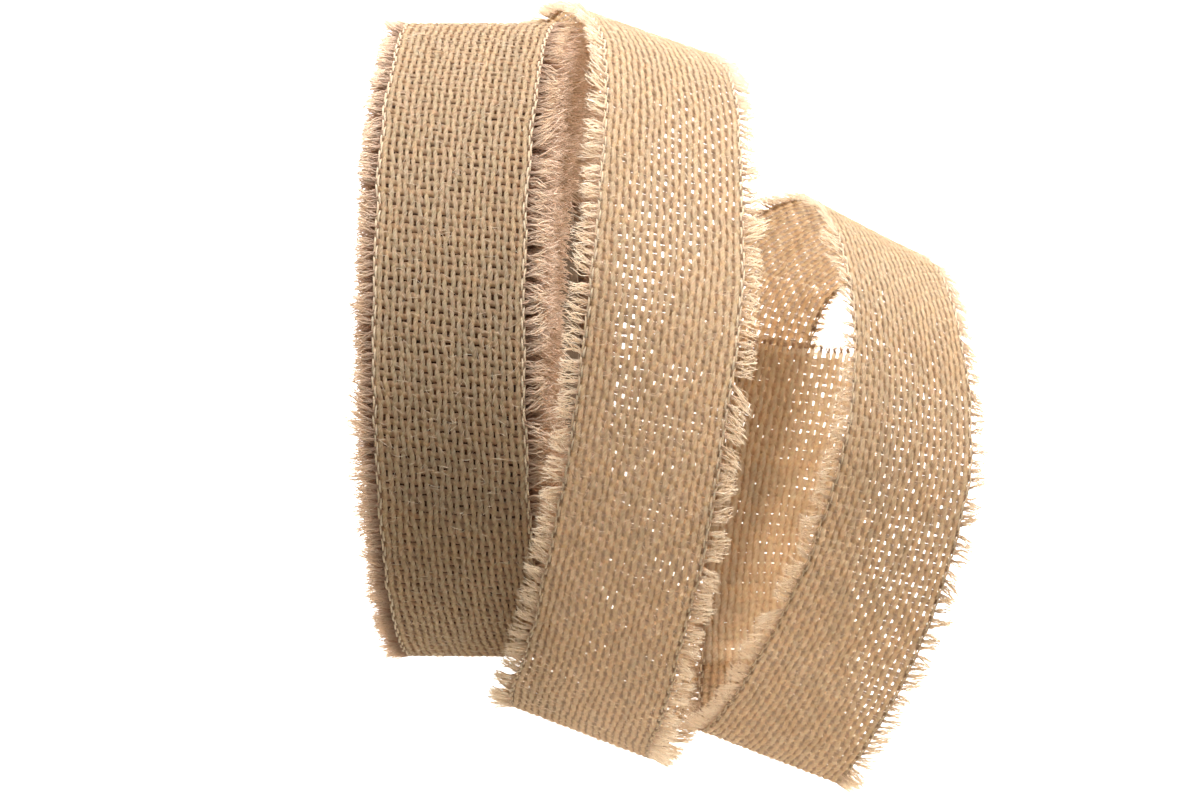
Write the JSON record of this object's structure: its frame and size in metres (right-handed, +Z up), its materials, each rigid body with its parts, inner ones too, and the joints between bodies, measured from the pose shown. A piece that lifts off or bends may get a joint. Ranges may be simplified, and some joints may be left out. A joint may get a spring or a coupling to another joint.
{
  "type": "ribbon roll",
  "caption": "Roll of loosely woven jute ribbon with frayed edges on a cardboard tube, its last turns standing beside it in two open loops.",
  "frame": {"origin": "on the core tube's axis, half way along the roll's width", "axes": "+Z up with the roll standing on its rim on a table 80 mm below the origin; X along the roll's axis, with the loose loops towards +X"},
  "size_m": [0.1521, 0.1997, 0.1692],
  "materials": {
    "jute_cloth": "plain open weave, natural jute, matt",
    "jute_fringe": "frayed jute fibre, matt",
    "stitch_thread": "thin spun thread, matt",
    "core_board": "spiral-wound grey-brown board, matt",
    "paper_tape": "crepe paper tape, matt"
  },
  "bodies": {
    "loose_ribbon": {"outer_turn_cloth": "jute_cloth", "outer_turn_fringe_left": "jute_fringe", "outer_turn_fringe_right": "jute_fringe", "first_loop_cloth": "jute_cloth", "first_loop_fringe_left": "jute_fringe", "first_loop_fringe_right": "jute_fringe", "second_loop_cloth": "jute_cloth", "second_loop_fringe_left": "jute_fringe", "second_loop_fringe_right": "jute_fringe", "tail_cloth": "jute_cloth", "tail_fringe_left": "jute_fringe", "tail_fringe_right": "jute_fringe", "edge_stitch_left": "stitch_thread", "edge_stitch_right": "stitch_thread", "cut_end_fray": "jute_fringe"},
    "wound_roll": {"core_inner_ply": "core_board", "core_middle_ply": "core_board", "core_outer_ply": "core_board", "start_tape": "paper_tape", "wound_cloth": "jute_cloth", "wound_fringe_left": "jute_fringe", "wound_fringe_right": "jute_fringe"}
  },
  "joints": [
    {"name": "roll_unwind", "type": "hinge", "parent": "loose_ribbon", "child": "wound_roll", "pos_m": [0, 0, 0], "axis": [1, 0, 0], "continuous": true}
  ]
}
